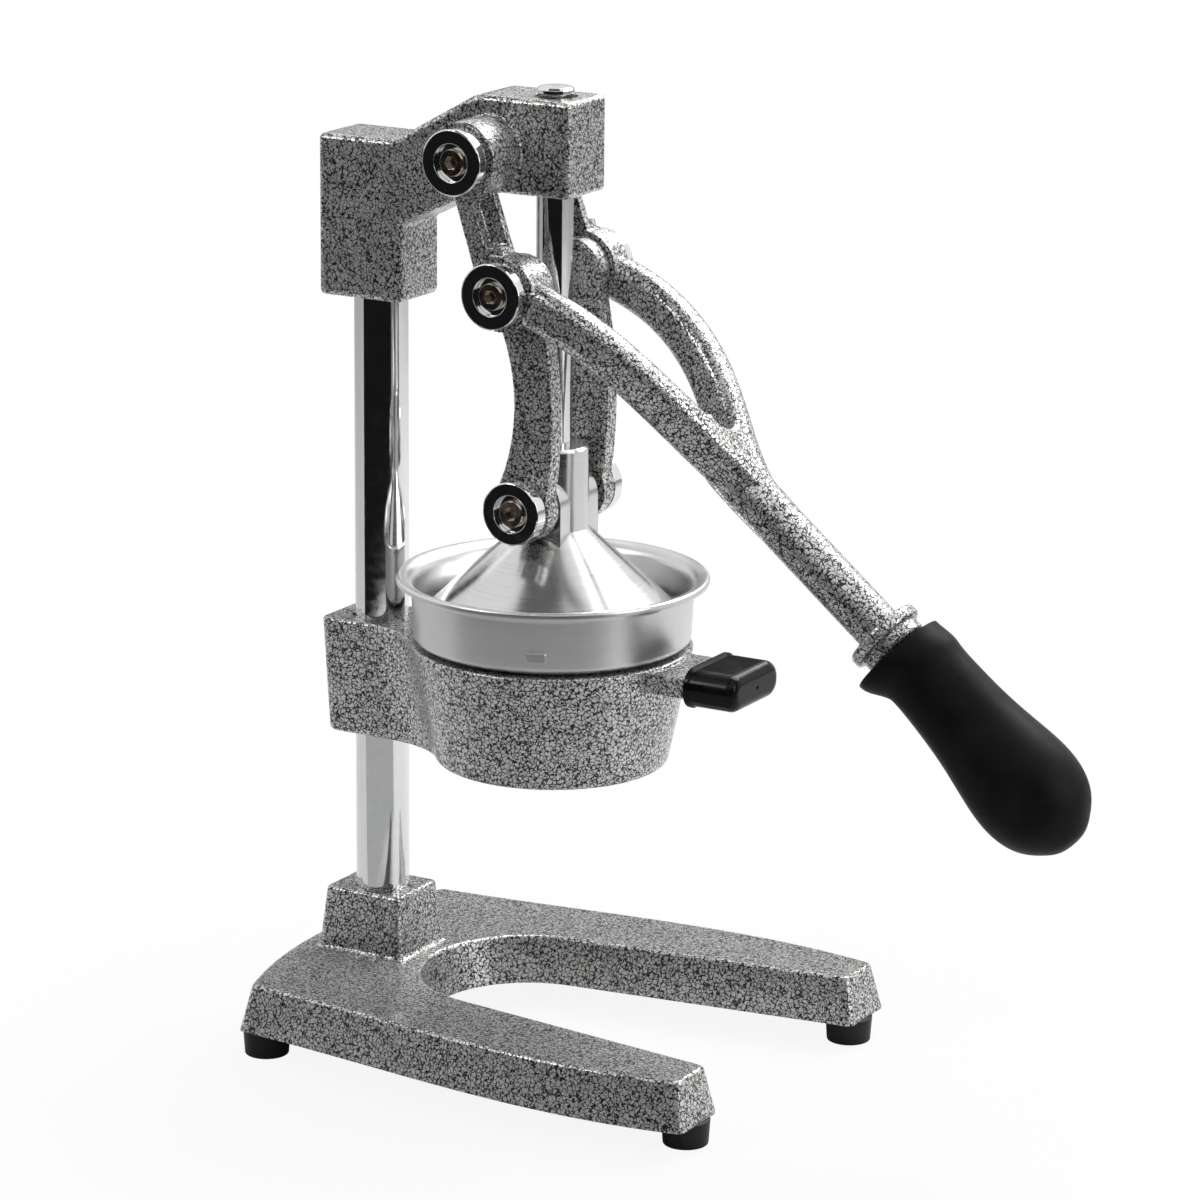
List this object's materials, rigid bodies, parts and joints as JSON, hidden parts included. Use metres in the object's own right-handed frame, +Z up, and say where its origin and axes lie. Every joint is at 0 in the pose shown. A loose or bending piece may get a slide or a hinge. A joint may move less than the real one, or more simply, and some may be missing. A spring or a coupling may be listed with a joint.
{
  "type": "lever citrus juice press",
  "caption": "Upright hand citrus press: a forked lever drives a cone down a guide rod into a steel cup over a U-shaped cast base.",
  "frame": {"origin": "on the surface the press stands on, under the middle of its overall length and width", "axes": "+Z up, +X towards the handle and the open end of the base, +Y to the left seen from behind the post"},
  "size_m": [0.3606, 0.1892, 0.407],
  "materials": {
    "hammer_paint": "grey hammertone enamel on cast iron, glossy, with black veins",
    "chrome": "polished chrome plate",
    "stainless": "satin stainless sheet",
    "polished_aluminium": "polished cast aluminium",
    "bronze": "plain sintered bushing",
    "steel": "plain zinc-plated steel",
    "black_rubber": "matte black moulded rubber",
    "black_vinyl": "glossy dipped vinyl",
    "foot_rubber": "black rubber"
  },
  "bodies": {
    "frame": {"base_casting": "hammer_paint", "foot_rear_right": "foot_rubber", "foot_rear_left": "foot_rubber", "foot_front_right": "foot_rubber", "foot_front_left": "foot_rubber", "foot_screws": "steel", "post": "chrome", "post_washer": "steel", "post_bolt": "steel", "cup_bracket": "hammer_paint", "bracket_set_screw": "steel", "tab_sleeve": "black_vinyl", "juice_cup": "stainless", "strainer_cone": "stainless", "head_casting": "hammer_paint", "head_set_screws": "steel", "rod_bushing": "bronze", "upper_pivot_shaft": "steel", "upper_pivot_caps": "chrome", "upper_pivot_screws": "steel"},
    "lever": {"lever_casting": "hammer_paint", "handle_grip": "black_rubber", "middle_pivot_pins": "steel", "middle_pivot_caps": "chrome", "middle_pivot_screws": "steel"},
    "press": {"press_cone": "polished_aluminium", "guide_rod": "chrome", "lower_pivot_shaft": "steel", "lower_pivot_spacers": "steel", "lower_pivot_caps": "chrome", "lower_pivot_screws": "steel"},
    "link_right": {"lower_link_right": "hammer_paint"},
    "link_left": {"lower_link_left": "hammer_paint"}
  },
  "joints": [
    {"name": "lever_hinge", "type": "hinge", "parent": "frame", "child": "lever", "pos_m": [-0.0834, 0, 0.3805], "axis": [0, -1, 0], "range_deg": [0, 110]},
    {"name": "press_slide", "type": "slide", "parent": "frame", "child": "press", "axis": [0, 0, 1], "range_m": [0, 0.0899]},
    {"name": "link_right_swing", "type": "hinge", "parent": "press", "child": "link_right", "pos_m": [-0.0623, 0, 0.2372], "axis": [0, 1, 0], "range_deg": [0, 15.7]},
    {"name": "link_left_swing", "type": "hinge", "parent": "press", "child": "link_left", "pos_m": [-0.0623, 0, 0.2372], "axis": [0, 1, 0], "range_deg": [0, 15.7]}
  ],
  "couplings": [
    {"joint": "press_slide", "follows": "lever_hinge", "m_per_rad": 0.046825},
    {"joint": "link_right_swing", "follows": "lever_hinge", "ratio": 0.14266},
    {"joint": "link_left_swing", "follows": "lever_hinge", "ratio": 0.14266}
  ]
}
